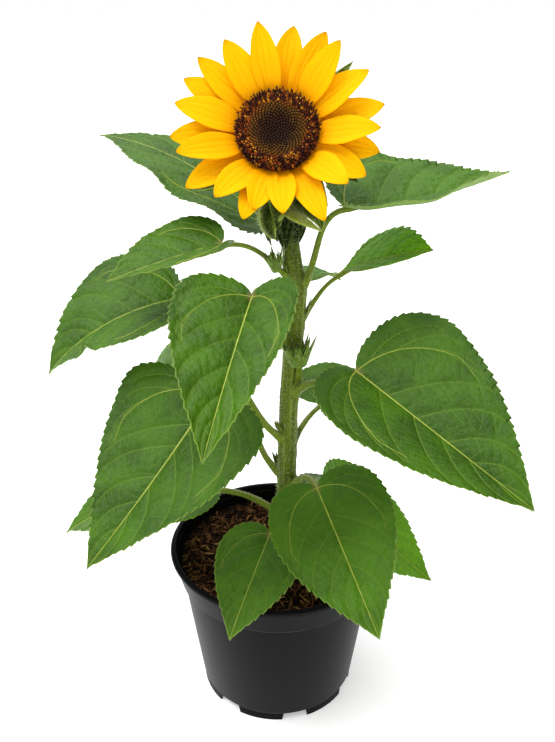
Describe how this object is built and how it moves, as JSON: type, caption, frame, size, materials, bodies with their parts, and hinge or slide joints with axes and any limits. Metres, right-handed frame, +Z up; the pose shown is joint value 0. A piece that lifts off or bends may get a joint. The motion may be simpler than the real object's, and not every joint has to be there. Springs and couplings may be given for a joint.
{
  "type": "potted sunflower plant",
  "caption": "Potted sunflower with one open flower head, a ribbed stem, heart-shaped leaves on arching stalks, side buds and a tapered nursery pot of compost.",
  "frame": {"origin": "centre of the pot's flat underside, on the surface that the pot stands on", "axes": "+Z up along the pot's axis and the plant; the flower head faces -Y, tilted upwards; +X to the right of a viewer who faces the flower"},
  "size_m": [0.3703, 0.3011, 0.569],
  "materials": {
    "pot": "black moulded polypropylene, satin",
    "compost": "shredded bark and coir fibre, matt",
    "stem": "ribbed green stem with white hairs",
    "stalk": "ribbed green leaf stalk with white hairs",
    "leaf": "quilted green blade, slightly waxy",
    "bud": "closed green bud with narrow bracts",
    "bract": "hairy green bract",
    "ray": "soft yellow petal with fine ribs",
    "disc": "packed brown florets, matt"
  },
  "bodies": {
    "root": {"pot": "pot", "compost": "compost", "stem": "stem", "stalk_01": "stalk", "leaf_01": "leaf", "stalk_02": "stalk", "leaf_02": "leaf", "stalk_03": "stalk", "leaf_03": "leaf", "stalk_04": "stalk", "leaf_04": "leaf", "stalk_05": "stalk", "leaf_05": "leaf", "stalk_06": "stalk", "leaf_06": "leaf", "stalk_07": "stalk", "leaf_07": "leaf", "stalk_08": "stalk", "leaf_08": "leaf", "stalk_09": "stalk", "leaf_09": "leaf", "stalk_10": "stalk", "leaf_10": "leaf", "stalk_11": "stalk", "leaf_11": "leaf", "stalk_12": "stalk", "leaf_12": "leaf", "stalk_13": "stalk", "leaf_13": "leaf", "stalk_14": "stalk", "leaf_14": "leaf", "stalk_15": "stalk", "leaf_15": "leaf", "stalk_16": "stalk", "leaf_16": "leaf", "side_bud_01": "bud", "side_bud_02": "bud", "involucre": "bract", "rays_back": "ray", "rays_front": "ray", "flower_disc": "disc"}
  },
  "joints": []
}
